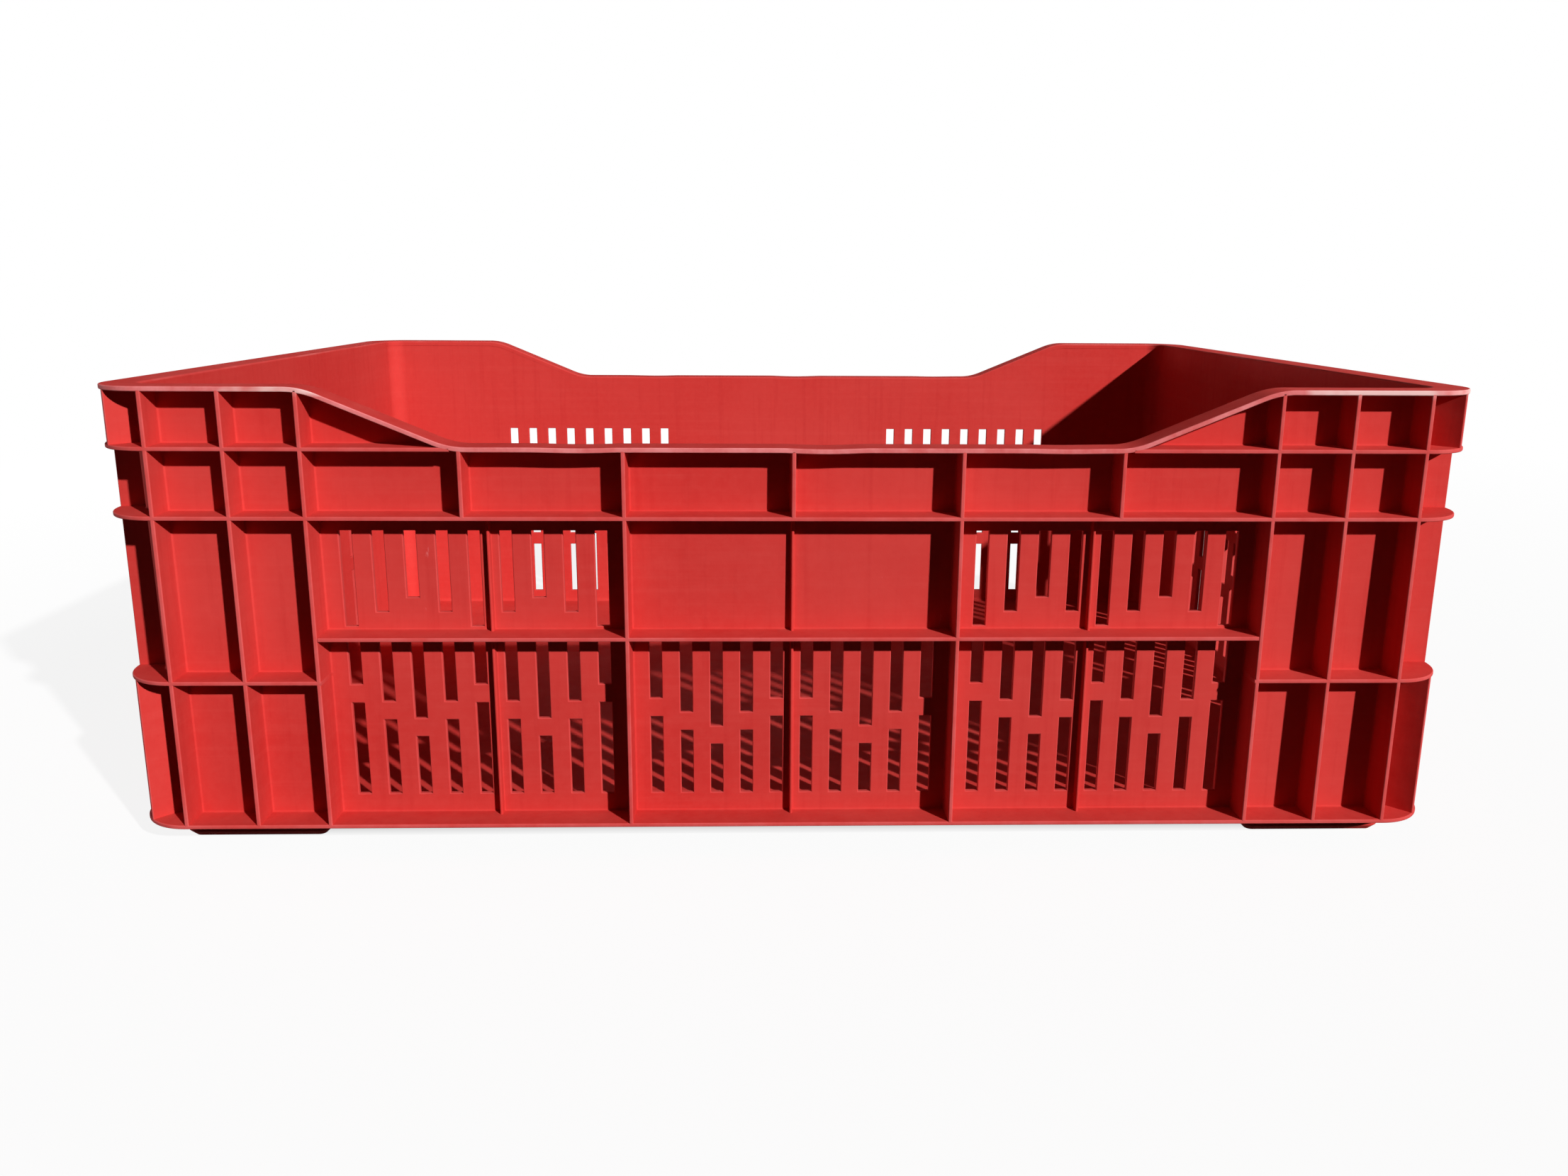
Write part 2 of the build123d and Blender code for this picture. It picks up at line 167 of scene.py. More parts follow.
class Skin:
    """Points, quads, end caps and pale-edge values of one moulded piece, gathered surface by surface. The
    pale edges are partly wear, partly painted highlight.
    """

    def __init__(self):
        self.points, self.quads, self.caps, self.wear_and_highlight = [], [], [], []
        self.count = 0

    def add(self, points, quads, wear_and_highlight, caps=()):
        """Take a surface: points, rows of four corner numbers, a pale-edge value for each point, and
        caps.
        """
        self.points.append(points)
        self.quads.append(quads + self.count)
        self.caps += [cap + self.count for cap in caps]
        self.wear_and_highlight.append(wear_and_highlight)
        self.count += len(points)

    def add_tube(self, grid, wear_and_highlight, ring=False):
        """Take a closed section carried along a path: grid[i, j] is point j of section i.

        Neighbouring sections are joined by quads. A ring joins the last section to the first, and an open
        run is closed by a flat face at each end."""
        sections, around = grid.shape[:2]
        number = np.arange(sections * around).reshape(sections, around)
        this = number if ring else number[:-1]
        following = np.roll(number, -1, 0) if ring else number[1:]
        quads = np.stack([this, np.roll(this, -1, 1), np.roll(following, -1, 1), following], axis=2)
        caps = () if ring else (number[0, ::-1], number[-1])
        wear_and_highlight = np.broadcast_to(wear_and_highlight, (sections, around)).reshape(-1)
        self.add(grid.reshape(-1, 3), quads.reshape(-1, 4), wear_and_highlight, caps)

    def place(self, node, turn):
        """Make the piece that stands for a CAD node, mirrored by the signs in turn."""
        points = np.concatenate(self.points) * np.array([turn[0], turn[1], 1.0])
        faces = np.concatenate(self.quads).tolist() + [cap.tolist() for cap in self.caps]
        mesh = bpy.data.meshes.new(f"{node}_skin")
        mesh.from_pydata(points, [], faces)
        # Pale-edge share per point, shown paler in the plastic: partly wear, partly painted highlight on
        # rib and rim edges
        wear_and_highlight = mesh.attributes.new("wear_and_highlight", "FLOAT", "POINT")
        wear_and_highlight.data.foreach_set("value", np.concatenate(self.wear_and_highlight).astype(np.float32))
        outward = bmesh.new()
        outward.from_mesh(mesh)
        bmesh.ops.recalc_face_normals(outward, faces=outward.faces)
        outward.to_mesh(mesh)
        outward.free()
        mesh.polygons.foreach_set("use_smooth", np.ones(len(mesh.polygons), bool))
        mesh.set_sharp_from_angle(angle=radians(SMOOTH_DEGREES))
        piece = bpy.data.objects.new(f"{node}_skin", mesh)
        bpy.context.scene.collection.objects.link(piece)
        flat = piece.modifiers.new("Flat faces", "WEIGHTED_NORMAL")
        flat.keep_sharp = True
        mesh.materials.append(moulded_plastic())
        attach(piece, BODY)
        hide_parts(node)


def arc(centre, radius, start, stop, steps=ARC_STEPS):
    """Points on a circle about a centre, at even angles from start to stop degrees."""
    angle = np.radians(np.linspace(start, stop, steps + 1))
    return np.column_stack([centre[0] + radius * np.cos(angle), centre[1] + radius * np.sin(angle)])


def run_side(*along):
    """Plan path along the back at the rib tips, through the given x: points and outward normals."""
    x = np.array(along)
    return np.column_stack([x, np.full_like(x, SIDE)]), np.tile([0.0, 1.0], (len(x), 1))


def run_end(*along):
    """Plan path along the right end at the rib tips, through the given y: points and outward normals."""
    y = np.array(along)
    return np.column_stack([np.full_like(y, END), y]), np.tile([1.0, 0.0], (len(y), 1))


def run_corner(start=90.0, stop=0.0, steps=CORNER_STEPS):
    """Plan path round the back right corner at the rib tips: points on the arc, and radial normals."""
    normals = arc((0.0, 0.0), 1.0, start, stop, steps)
    return np.array([CORNER_X, CORNER_Y]) + CORNER_RADIUS * normals, normals


def joined(*runs):
    """Several plan paths, end to end, with the doubled joint points dropped."""
    points = np.concatenate([run[0] if k == 0 else run[0][1:] for k, run in enumerate(runs)])
    normals = np.concatenate([run[1] if k == 0 else run[1][1:] for k, run in enumerate(runs)])
    return points, normals


def carried(path, section, lift=0.0):
    """A section of rows (outward, up) carried along a plan path.

    Each point is the path point plus outward times its normal, at its height plus the lift there."""
    points, normals = path
    plan = points[:, None, :] + normals[:, None, :] * section[None, :, :1]
    height = section[None, :, 1] + np.broadcast_to(lift, len(points))[:, None]
    return np.concatenate([plan, height[:, :, None]], axis=2)


def blade(thickness, reach, low_root=True):
    """Closed section of a rib: rows (outward from the tip, across), and how pale each point is painted as
    wear and painted highlight.

    The sides run from the wall, at minus the reach, to the tip at nought and draw together by the taper.
    Quarter circles round the tip's edges, and hollow quarter circles, smaller on a shallow rib, join the
    sides to the wall. Behind the fillets the section is closed inside the wall."""
    half, tip = thickness / 2, thickness / 2 - sizes().rib_taper
    edge = min(sizes().edge_radius, tip * TIP_SHARE)
    fillet = min(sizes().fillet_radius, reach * FILLET_SHARE)
    near = -min(sizes().pale_edge_width, reach / 2)
    root = arc((fillet - reach, half + fillet), fillet, 180, 270)
    tapered = np.array([[near, half + (tip - half) * (reach + near) / reach]])
    upper = np.concatenate([root, tapered, arc((-edge, tip - edge), edge, 90, 0)])
    lower = upper[::-1] * [1, -1]
    if not low_root:
        lower = np.concatenate([lower[:-len(root)], [[-reach, -half]]])
    behind = [[-reach - BURY, lower[-1, 1]], [-reach - BURY, upper[0, 1]]]
    section = np.concatenate([upper, lower, behind])
    # The tip strip is painted paler: partly wear, partly a painted highlight where light catches the tip
    return section, (section[:, 0] > near + NEAR) * sizes().rib_wear_and_highlight


def level_rib(skin, path, heights, low_root=True):
    """Level rib between two heights along a plan path."""
    middle = (heights[0] + heights[1]) / 2
    section, wear_and_highlight = blade(heights[1] - heights[0], inset(middle), low_root)
    skin.add_tube(carried(path, section + [0.0, middle]), wear_and_highlight)


def upright(skin, spot, bay, thickness, behind=0.0):
    """Upright rib in a bay: its section, worked out at the bay's ends, is carried up the leaning wall.

    The spot is a plan path of one point, on the rib tips. The rib's own tip stands behind it by the given
    distance, where it is left without the pale edge of wear and painted highlight, and its ends reach
    into the level ribs."""
    heights = np.array([bay[0] - sizes().edge_radius, bay[1] + sizes().edge_radius])
    (place,), (outward,) = spot
    across = np.array([-outward[1], outward[0]])
    sections = [blade(thickness, inset(height) - behind) for height in heights]
    rows = np.stack([section for section, _ in sections])
    plan = place + (rows[:, :, :1] - behind) * outward + rows[:, :, 1:] * across
    up = np.broadcast_to(heights[:, None, None], plan.shape[:2] + (1,))
    # Set-back tips get no pale edge, neither wear nor painted highlight
    wear_and_highlight = 0.0 if behind else sections[0][1]
    skin.add_tube(np.concatenate([plan, up], axis=2), wear_and_highlight)


def stations_along(node, run):
    """Distinct coordinates of a CAD node's corners along a run of the wall."""
    return stations(node, 0 if run is run_side else 1)


def uprights(node, run, bays, behind=0.0):
    """All upright ribs of a CAD node, at its own stations along a run of the wall, in the given bays."""
    edges = stations_along(node, run).reshape(-1, 2)
    skin = Skin()
    for low, high in edges:
        for bay in bays:
            upright(skin, run((low + high) / 2), bay, high - low, behind)
    return skin


def rim_section(heights):
    """Closed section of a rim on the wall: rows (outward from the tip, up), and how pale each point is
    painted: wear, and on the outer edges also painted highlight.

    It spans from the wall's inner face to the rib tips. Quarter circles round its inner top edge and both
    tip edges, and a hollow quarter circle joins its underside to the wall's outer face."""
    edge, fillet, lip = sizes().edge_radius, sizes().fillet_radius, sizes().rim_inner_radius
    low, high = heights
    outer = -inset(low)
    inner = outer - WALL
    near = -sizes().pale_edge_width
    section = np.concatenate([
        [[inner, low - BURY]],
        arc((inner + lip, high - lip), lip, 180, 90),
        [[inner + lip - near, high], [near, high]],
        arc((-edge, high - edge), edge, 90, 0),
        arc((-edge, low + edge), edge, 0, -90),
        [[near, low]],
        arc((outer + fillet, low - fillet), fillet, 90, 180),
        [[outer - BURY, low - fillet], [outer - BURY, low - BURY]],
    ])
    # Outer rim edges painted paler: partly wear, partly a painted highlight where light catches the rim
    wear_and_highlight = (section[:, 0] > near + NEAR) * sizes().rim_wear_and_highlight
    inner_arc = slice(1, ARC_STEPS + 2)
    wear_and_highlight[inner_arc][1:-1] = sizes().inner_wear
    return section, wear_and_highlight


def rim_rise(x):
    """Height of the rim above the bottom of the dip at distances x from the middle.

    It is nought along the dip and the dip's depth over the shoulder, with a straight slope between. At
    both bends a parabola meets the straight runs without a corner."""
    bend = sizes().slope_bend
    pitch = DIP / (SLOPE_TOP - SLOPE_FOOT)
    up = np.clip(x - SLOPE_FOOT + bend, 0.0, 2 * bend)
    down = np.clip(SLOPE_TOP + bend - x, 0.0, 2 * bend)
    foot = pitch * up ** 2 / (4 * bend)
    straight = pitch * np.clip(x - SLOPE_FOOT - bend, 0.0, SLOPE_TOP - SLOPE_FOOT - 2 * bend)
    top = pitch * (bend - down ** 2 / (4 * bend))
    return foot + straight + top


def slope_stations():
    """Distances from the middle at which the rim's slope is worked out: close together at both bends."""
    bend = sizes().slope_bend
    steps = np.linspace(-bend, bend, BEND_STEPS + 1)
    return np.concatenate([SLOPE_FOOT + steps, SLOPE_TOP + steps, [CORNER_X]])


def slotted_sheet(across, up, slots):
    """A wall with slots: points as rows (along, up, depth from the outer face), quads and worn values.

    Grid lines run along every slot edge. Cells inside a slot are left out of both faces, and the rim of
    each hole gets a lip: its points step from the outer face into the hole by the sine of an angle and
    into the wall by one minus its cosine, pass straight through and step out again at the inner face."""
    lip = sizes().slot_lip
    u = np.unique(np.round(np.concatenate([across, slots[:, 0] - lip, slots[:, 1] + lip]), DECIMALS))
    v = np.unique(np.round(np.concatenate([up, slots[:, 2] - lip, slots[:, 3] + lip]), DECIMALS))
    u_mid, v_mid = (u[1:] + u[:-1]) / 2, (v[1:] + v[:-1]) / 2
    in_u = (u_mid[None, :] > slots[:, :1] - lip) & (u_mid[None, :] < slots[:, 1:2] + lip)
    in_v = (v_mid[None, :] > slots[:, 2:3] - lip) & (v_mid[None, :] < slots[:, 3:] + lip)
    hole = np.any(in_u[:, :, None] & in_v[:, None, :], axis=0)

    wide, tall = len(u), len(v)
    outer = np.arange(wide * tall).reshape(wide, tall)
    inner = outer + wide * tall
    quads = []
    for number in (outer, inner):
        cells = np.stack([number[:-1, :-1], number[1:, :-1], number[1:, 1:], number[:-1, 1:]], axis=2)
        quads.append(cells[~hole])
    for edge in ((0, slice(None)), (-1, slice(None)), (slice(None), 0), (slice(None), -1)):
        front, back = outer[edge], inner[edge]
        quads.append(np.stack([front[:-1], front[1:], back[1:], back[:-1]], axis=1))

    framed = np.pad(hole, 1).astype(int)
    south_west, north_west = framed[:-1, :-1], framed[:-1, 1:]
    south_east, north_east = framed[1:, :-1], framed[1:, 1:]
    holes_round = south_west + north_west + south_east + north_east
    rim_u, rim_v = np.nonzero((holes_round > 0) & (holes_round < 4))
    side_u = np.sign(south_east + north_east - south_west - north_west)[rim_u, rim_v]
    side_v = np.sign(north_west + north_east - south_west - south_east)[rim_u, rim_v]
    turn = np.radians(np.linspace(0.0, 90.0, ARC_STEPS + 1))[1:]
    step_in = lip * np.concatenate([np.sin(turn), np.sin(turn)[::-1]])
    depth = np.concatenate([lip * (1 - np.cos(turn)), WALL - lip * (1 - np.cos(turn))[::-1]])
    rows, first = len(depth), 2 * wide * tall
    number = np.full((rows + 2, wide, tall), -1)
    number[0], number[-1] = outer, inner
    number[1:-1, rim_u, rim_v] = first + np.arange(rows * len(rim_u)).reshape(rows, -1)
    lip_points = np.stack([
        u[rim_u] + step_in[:, None] * side_u,
        v[rim_v] + step_in[:, None] * side_v,
        np.broadcast_to(depth[:, None], (rows, len(rim_u))),
    ], axis=2).reshape(-1, 3)

    stand = np.array(np.nonzero(framed[:-1, 1:-1] != framed[1:, 1:-1]))
    lie = np.array(np.nonzero(framed[1:-1, :-1] != framed[1:-1, 1:]))
    starts = np.concatenate([stand, lie], axis=1)
    stops = np.concatenate([stand + [[0], [1]], lie + [[1], [0]]], axis=1)
    here, there = number[:, starts[0], starts[1]], number[:, stops[0], stops[1]]
    quads.append(np.stack([here[:-1], there[:-1], there[1:], here[1:]], axis=2).reshape(-1, 4))

    grid_u, grid_v = [axis.reshape(-1) for axis in np.meshgrid(u, v, indexing="ij")]
    points = np.concatenate([
        np.column_stack([grid_u, grid_v, np.zeros(wide * tall)]),
        np.column_stack([grid_u, grid_v, np.full(wide * tall, WALL)]),
        lip_points,
    ])
    used, quads = np.unique(np.concatenate(quads), return_inverse=True)
    return points[used], quads.reshape(-1, 4), (used >= first) * sizes().slot_wear


def on_back(points):
    """Rows (along, up, depth) set on the back wall of the tub."""
    return np.column_stack([points[:, 0], SIDE - inset(points[:, 1]) - points[:, 2], points[:, 1]])


def on_right(points):
    """Rows (along, up, depth) set on the right end of the tub."""
    return np.column_stack([END - inset(points[:, 1]) - points[:, 2], points[:, 0], points[:, 1]])


def holed_sheet(across, up, hole, radius):
    """A wall with one rounded opening: a grid of rows (along, up, depth), closed both ways, and its wear.

    Round the opening run points of a rounded rectangle. Each is tied to a point straight out from it on
    the wall's border, with the middle of each corner arc tied to the border's corner. Sections step from
    the border over the outer face, round the lip and back over the inner face."""
    lip = sizes().hand_lip
    half = CORNER_STEPS // 2
    share = np.linspace(0.0, 1.0, half + 1)[:, None]
    bends, centres, border = [], [], []
    for (east, north), start in zip(((1, 1), (0, 1), (0, 0), (1, 0)), (0, 90, 180, 270)):
        inward = radius * np.array([1 - 2 * east, 1 - 2 * north])
        centre = np.array([hole[east], hole[2 + north]]) + inward
        bends.append(arc((0.0, 0.0), 1.0, start, start + 90, 2 * half))
        centres.append(np.tile(centre, (2 * half + 1, 1)))
        corner = np.array([across[east], up[north]])
        stops = [np.array([across[east], centre[1]]), np.array([centre[0], up[north]])]
        first, last = stops if start % 180 == 0 else stops[::-1]
        border += [first + (corner - first) * share, (corner + (last - corner) * share)[1:]]
    bend, centre, border = np.concatenate(bends), np.concatenate(centres), np.concatenate(border)
    turn = np.radians(np.linspace(0.0, 90.0, ARC_STEPS + 1))
    reach = radius + lip * (1 - np.concatenate([np.sin(turn), np.sin(turn)[::-1]]))
    depth = np.concatenate([lip * (1 - np.cos(turn)), WALL - lip * (1 - np.cos(turn))[::-1]])
    opening = centre[:, None, :] + bend[:, None, :] * reach[None, :, None]
    plan = np.concatenate([border[:, None, :], opening, border[:, None, :]], axis=1)
    depth = np.broadcast_to(np.concatenate([[0.0], depth, [WALL]])[None, :, None], plan.shape[:2] + (1,))
    wear_and_highlight = np.zeros(plan.shape[1])
    wear_and_highlight[2:-2] = sizes().slot_wear
    return np.concatenate([plan, depth], axis=2), wear_and_highlight


def cove(skin, path):
    """Hollow fillet between floor and wall along a plan path: a quarter circle, closed behind."""
    radius = sizes().cove_radius
    face = -inset(FLOOR_TOP) - WALL
    section = np.concatenate([
        arc((face - radius, FLOOR_TOP + radius), radius, 0, -90),
        [[face - radius, FLOOR_TOP - BURY], [face + BURY, FLOOR_TOP - BURY]],
        [[face + BURY, FLOOR_TOP + radius]],
    ])
    skin.add_tube(carried(path, section), 0.0)


# Finish

EVEN = (1.0, 1.0, 1.0)
# Noise patterns of the plastic: waves to the metre, detail, roughness, how much denser the waves are
# along x, y and z, and the noise values at which the pattern sets in and is full
PATTERNS = {
    "fading": (6.0, 3.0, 0.55, EVEN, 0.35, 0.7),
    "level_streaks": (9.0, 4.0, 0.6, (1.0, 1.0, 34.0), 0.5, 0.75),
    "plumb_streaks": (11.0, 4.0, 0.6, (22.0, 22.0, 1.0), 0.52, 0.75),
    "mottle": (260.0, 4.0, 0.65, EVEN, 0.4, 0.75),
    # Patches of the pale edges, which are partly wear, partly painted highlight
    "wear_and_highlight_patches": (48.0, 5.0, 0.7, EVEN, 0.36, 0.66),
    "rubs": (14.0, 4.0, 0.65, EVEN, 0.5, 0.6),
    "scuffs": (95.0, 6.0, 0.75, (1.0, 1.0, 0.35), 0.68, 0.78),
    "scuffed_places": (8.0, 2.0, 0.55, EVEN, 0.48, 0.62),
    # Dust on upward faces, which also paints them lighter as painted light
    "dust_and_top_light": (30.0, 5.0, 0.7, EVEN, 0.4, 0.7),
    "sheen": (22.0, 4.0, 0.6, EVEN, 0.3, 0.7),
}
# Bumps of the surface: waves to the metre, detail, roughness, strength, and height in metres
BUMPS = {"grain": (1400.0, 2.0, 0.55, 0.25, 0.0001), "ripple": (34.0, 2.0, 0.55, 0.5, 0.0012)}
# Least share of an edge's paleness between the patches; the paleness is partly wear, partly painted
# highlight
LEAST_EDGE_PALENESS = 0.35
# Upward parts of the normal at which dust, with painted light on upward faces, begins and is full
DUST_AND_TOP_LIGHT_SLOPES = (0.55, 1.0)
# How far the roughness falls and rises about its mean, and how much wear adds to it
SMOOTHER, ROUGHER = 0.06, 0.08
WORN_ROUGHNESS = 0.12
# Places of the sockets that a Mix node uses for colours
SHARE_IN, UNDER_IN, OVER_IN, COLOUR_OUT = 0, 6, 7, 2


def add_node(tree, kind, inputs=None, **settings):
    """New shader node with its settings and its inputs: a link from another node's socket, or a value."""
    node = tree.nodes.new(kind)
    for name, value in settings.items():
        setattr(node, name, value)
    for name, value in (inputs or {}).items():
        if isinstance(value, bpy.types.NodeSocket):
            tree.links.new(value, node.inputs[name])
        else:
            node.inputs[name].default_value = value
    return node


def noise(tree, place, waves, detail, roughness, density=EVEN):
    """Noise at a number of waves to the metre, denser along an axis by its density."""
    mapping = add_node(tree, "ShaderNodeMapping", {"Vector": place, "Scale": density})
    return add_node(tree, "ShaderNodeTexNoise", {
        "Vector": mapping.outputs["Vector"], "Scale": waves, "Detail": detail, "Roughness": roughness,
    }).outputs["Fac"]


def ranged(tree, value, low, high, to_low=0.0, to_high=1.0):
    """Value stretched from one range to another and held inside it."""
    return add_node(tree, "ShaderNodeMapRange", {
        "Value": value, "From Min": low, "From Max": high, "To Min": to_low, "To Max": to_high,
    }, clamp=True).outputs["Result"]


def pattern(tree, place, name, least=0.0, most=1.0):
    """One of the noise patterns, from least where it has not set in to most where it is full."""
    *shape, sets_in, full = PATTERNS[name]
    return ranged(tree, noise(tree, place, *shape), sets_in, full, least, most)


def bumped(tree, place, name, **under):
    """Normals roughened by one of the bumps, on top of the normals of another where these are given."""
    *shape, strength, height = BUMPS[name]
    return add_node(tree, "ShaderNodeBump", {
        "Height": noise(tree, place, *shape), "Strength": strength, "Distance": height, **under,
    }).outputs["Normal"]


def times(tree, a, b):
    """Product of two sockets, or of a socket and a number."""
    node = add_node(tree, "ShaderNodeMath", {0: a, 1: b}, operation="MULTIPLY")
    return node.outputs[0]


def blended(tree, share, under, over):
    """Colour laid over another by a share: each colour is a socket or three numbers."""
    under, over = [
        value if isinstance(value, bpy.types.NodeSocket) else (*value, 1.0) for value in (under, over)
    ]
    return add_node(tree, "ShaderNodeMix", {
        SHARE_IN: share, UNDER_IN: under, OVER_IN: over,
    }, data_type="RGBA").outputs[COLOUR_OUT]


def moulded_plastic():
    """Sun-faded red plastic with flow streaks, pale edges of wear and painted highlight, scuffs, dust
    with painted light on upward faces and a fine moulded grain.
    """
    name = "sun_faded_crate_plastic"
    if name in bpy.data.materials:
        return bpy.data.materials[name]
    finish = bpy.context.scene.crate_finish
    material = bpy.data.materials.new(name)
    material.use_nodes = True
    tree = material.node_tree
    shader = tree.nodes["Principled BSDF"]
    place = add_node(tree, "ShaderNodeTexCoord").outputs["Object"]

    fading = pattern(tree, place, "fading", most=finish.fading)
    colour = blended(tree, fading, finish.plastic_colour, finish.faded_colour)
    level_streaks = pattern(tree, place, "level_streaks", most=finish.streaks)
    colour = blended(tree, level_streaks, colour, finish.faded_colour)
    plumb_streaks = pattern(tree, place, "plumb_streaks", most=finish.streaks)
    colour = blended(tree, plumb_streaks, colour, finish.deep_colour)
    mottle = pattern(tree, place, "mottle", most=finish.mottle)
    colour = blended(tree, mottle, colour, finish.faded_colour)

    # Pale edges: partly wear, partly painted highlight on the edges of ribs and rims
    wear_and_highlight = add_node(tree, "ShaderNodeAttribute", attribute_name="wear_and_highlight").outputs["Fac"]
    edge_wear_and_highlight = times(tree, wear_and_highlight, pattern(tree, place, "wear_and_highlight_patches", LEAST_EDGE_PALENESS))
    colour = blended(tree, edge_wear_and_highlight, colour, finish.wear_and_highlight_colour)
    height = add_node(tree, "ShaderNodeSeparateXYZ", {"Vector": place}).outputs["Z"]
    on_rim = times(tree, wear_and_highlight, ranged(tree, height, RIM[0] - RIB, RIM[0]))
    rubs = pattern(tree, place, "rubs", most=finish.rubbing)
    colour = blended(tree, times(tree, on_rim, rubs), colour, finish.rubbed_colour)

    scuffs = times(tree, pattern(tree, place, "scuffs"), pattern(tree, place, "scuffed_places"))
    scuffed = times(tree, scuffs, finish.scuffs)
    colour = blended(tree, scuffed, colour, finish.wear_and_highlight_colour)

    normal = add_node(tree, "ShaderNodeNewGeometry").outputs["Normal"]
    upward = add_node(tree, "ShaderNodeSeparateXYZ", {"Vector": normal}).outputs["Z"]
    # Upward faces painted paler: partly dust, partly painted light that brightens tops
    dust_and_top_light = times(tree, ranged(tree, upward, *DUST_AND_TOP_LIGHT_SLOPES), pattern(tree, place, "dust_and_top_light"))
    colour = blended(tree, times(tree, dust_and_top_light, finish.dust_and_top_light), colour, finish.dust_and_top_light_colour)
    tree.links.new(colour, shader.inputs["Base Color"])

    sheen = pattern(tree, place, "sheen", finish.roughness - SMOOTHER, finish.roughness + ROUGHER)
    dulled = add_node(tree, "ShaderNodeMath", {
        0: edge_wear_and_highlight, 1: WORN_ROUGHNESS, 2: sheen}, operation="MULTIPLY_ADD").outputs[0]
    tree.links.new(dulled, shader.inputs["Roughness"])
    shader.inputs["Specular IOR Level"].default_value = finish.gloss

    grain = bumped(tree, place, "grain")
    tree.links.new(bumped(tree, place, "ripple", Normal=grain), shader.inputs["Normal"])
    return material


# Sizes and colours that a user may change

def length(name, default, description):
    """Length property in metres."""
    return FloatProperty(
        name=name, description=description, default=default, min=0.0, unit="LENGTH", precision=5
    )


def share(name, default, description):
    """Property from none to full."""
    return FloatProperty(
        name=name, description=description, default=default, min=0.0, max=1.0, subtype="FACTOR"
    )


def light_strength(name, default, description):
    """Strength of a light."""
    return FloatProperty(name=name, description=description, default=default, min=0.0)


def colour(name, default, description):
    """Linear colour property."""
    return FloatVectorProperty(
        name=name, description=description, default=default, size=3, min=0.0, max=1.0, subtype="COLOR"
    )


class CrateSizes(bpy.types.PropertyGroup):
    """Roundings and wear of the moulding, with highlight painted on rib and rim edges, which the CAD
    solids leave out.
    """

    edge_radius: length("Rib edge", 0.0005, "Radius on the outer edges of ribs and rims")
    fillet_radius: length("Rib root", 0.0008, "Radius of the hollow fillet where a rib meets the wall")
    rib_taper: length("Rib taper", 0.00018, "How much thinner each side of a rib is at its tip")
    # Width of the tip strip painted paler, partly as wear and partly as painted highlight
    pale_edge_width: length("Worn edge", 0.0005, "Width of the paler, worn strip behind a rib's tip")
    rim_inner_radius: length("Rim inner edge", 0.001, "Radius on the inner top edge of the rim")
    slope_bend: length("Slope bend", 0.007, "Half length of the curve at each end of the rim's slope")
    slot_lip: length("Slot lip", 0.0005, "Radius on the edges of the wall slots")
    hand_lip: length("Hand hole lip", 0.0008, "Radius on the edges of the hand holes")
    cove_radius: length("Floor cove", 0.0022, "Radius of the hollow between floor and walls")
    floor_edge: length("Floor edge", 0.00035, "Radius on the edges of the floor and the ribs under it")
    foot_edge: length("Foot edge", 0.0006, "Radius on the edges of the feet")
    rim_waviness: length("Rim waviness", 0.0005, "How far the dipped rim sags in places")
    # Paleness of rib tips and rim edges: partly wear, partly painted highlight
    rib_wear_and_highlight: share("Rib wear", 0.26, "Paleness of the ribs' tips")
    rim_wear_and_highlight: share("Rim wear", 0.9, "Paleness of the rims' outer edges")
    inner_wear: share("Rim inner wear", 0.1, "Paleness of the rims' inner top edges")
    slot_wear: share("Slot wear", 0.12, "Paleness of the slots' edges")


class CrateFinish(bpy.types.PropertyGroup):
    """Colours, wear, dust and painted light of the plastic."""

    plastic_colour: colour("Plastic", (0.535, 0.031, 0.027), "Moulded colour")
    faded_colour: colour("Faded plastic", (0.595, 0.062, 0.053), "Colour where the sun has faded it")
    deep_colour: colour("Deep plastic", (0.43, 0.017, 0.017), "Colour in the darker flow streaks")
    # Colour of pale edges, partly wear and partly painted highlight, and of scuffs
    wear_and_highlight_colour: colour("Worn edges", (0.76, 0.24, 0.24), "Colour of rubbed edges and scuffs")
    rubbed_colour: colour("Rubbed rim", (0.86, 0.62, 0.58), "Colour where stacking has rubbed the rim")
    # Colour of dust on upward faces, also used as painted light that brightens them
    dust_and_top_light_colour: colour("Dust", (0.66, 0.11, 0.09), "Colour of dust on level surfaces")
    fading: share("Fading", 0.55, "How much the faded colour shows")
    streaks: share("Streaks", 0.26, "How much the flow streaks show")
    mottle: share("Mottle", 0.25, "How much the fine mottling shows")
    scuffs: share("Scuffs", 0.5, "How much the scuffs show")
    rubbing: share("Rubbing", 0.85, "How much the rubbed patches show")
    # Share of dust and painted top light on upward faces
    dust_and_top_light: share("Dust cover", 0.2, "How much dust lies on level surfaces")
    roughness: share("Roughness", 0.75, "Mean roughness of the plastic")
    gloss: share("Gloss", 0.03, "Strength of reflections, a half being that of bare plastic")


class CrateStage(bpy.types.PropertyGroup):
    """Light and floor."""

    sun_strength: light_strength("Key light", 4.6, "Strength of the key light")
    sun_angle: FloatProperty(
        name="Key softness", description="Angle that the key light fills",
        default=radians(1.5), subtype="ANGLE",
    )
    low_strength: light_strength("Low lights", 1.0, "Strength of the lights behind and on the left")
    fill: light_strength("Fill light", 0.012, "Strength of the light from all round")
    floor_colour: colour("Floor", (0.03, 0.03, 0.03), "Colour that the floor throws back on the crate")
    floor_white: share("Floor whiteness", 0.88, "How far the floor is lifted to white where it is seen")


# Pieces

def sweep(turns, name, make):
    """Make a piece of the back right and mirror it to the other corners, sides or ends."""
    for where, turn in turns.items():
        make().place(f"{where}_{name}", turn)


